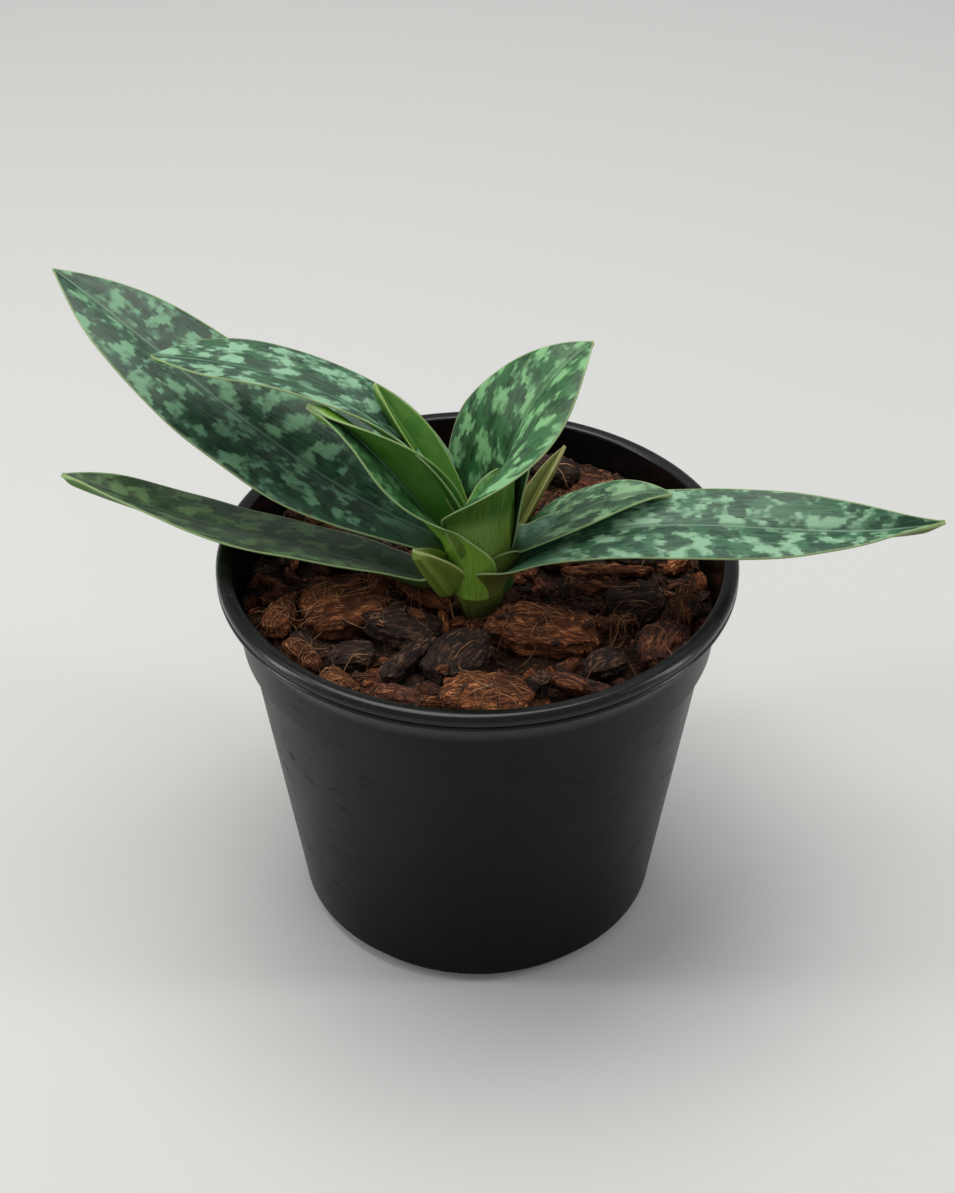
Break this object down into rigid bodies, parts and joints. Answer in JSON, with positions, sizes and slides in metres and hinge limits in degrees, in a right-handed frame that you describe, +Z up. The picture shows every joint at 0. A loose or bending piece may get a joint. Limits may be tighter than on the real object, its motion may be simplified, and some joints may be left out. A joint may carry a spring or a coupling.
{
  "type": "potted slipper orchid",
  "caption": "Slipper orchid plant out of flower in a black nursery pot: a low fan of mottled strap leaves rooted in bark and coir chunks.",
  "frame": {"origin": "middle of the pot's underside, on the flat pad that stands level with the foot ring", "axes": "+Z up along the pot's axis; +X towards the long single leaf, along the fan; +Y towards the back of the pot, away from the viewer"},
  "size_m": [0.2268, 0.13, 0.1619],
  "materials": {
    "black_plastic": "satin, lightly scuffed",
    "mix_brown": "rough, damp",
    "stem_green": "smooth, waxy",
    "root_tan": "velvety",
    "young_leaf": "smooth, satin",
    "mottled_leaf": "leathery satin, dark green blotches on grey-green with a pale edge",
    "olive_bract": "smooth, thin",
    "coir": "fibrous",
    "red_bark": "rough",
    "dark_bark": "rough, damp"
  },
  "bodies": {
    "root": {"bark_at_rim": "dark_bark", "bark_back": "red_bark", "bark_behind_stem": "dark_bark", "bark_block_back": "red_bark", "bark_dark_left": "dark_bark", "bark_disc_right": "dark_bark", "bark_edge_back_left": "dark_bark", "bark_edge_back_right": "dark_bark", "bark_flake_back_left": "red_bark", "bark_front_left": "red_bark", "bark_front_right": "dark_bark", "bark_long_back_right": "red_bark", "bark_narrow": "dark_bark", "bark_red_right": "red_bark", "bark_small_left": "dark_bark", "bark_striped": "dark_bark", "bark_under_leaf_left": "dark_bark", "bark_under_leaf_right": "dark_bark", "bract_back": "olive_bract", "bract_left": "olive_bract", "coir_back_left": "coir", "coir_bit_front": "coir", "coir_bit_front_left": "coir", "coir_bit_left": "coir", "coir_bit_low_left": "coir", "coir_chunk_front": "coir", "coir_chunk_left": "coir", "coir_edge_right": "coir", "coir_leaning_on_stem": "coir", "coir_right_of_stem": "coir", "coir_tangle_front": "coir", "husk_strip_right": "coir", "leaf_arching_left": "mottled_leaf", "leaf_back_left": "mottled_leaf", "leaf_behind_upright": "mottled_leaf", "leaf_folded_left": "mottled_leaf", "leaf_long_right": "mottled_leaf", "leaf_low_left": "mottled_leaf", "leaf_new_tip": "young_leaf", "leaf_short_right": "mottled_leaf", "leaf_upright": "mottled_leaf", "leaf_youngest": "young_leaf", "nursery_pot": "black_plastic", "potting_mix": "mix_brown", "root_1": "root_tan", "root_2": "root_tan", "root_3": "root_tan", "root_4": "root_tan", "root_5": "root_tan", "root_6": "root_tan", "stem": "stem_green", "stick_red_front": "red_bark", "stick_thin_right": "coir"}
  },
  "joints": []
}
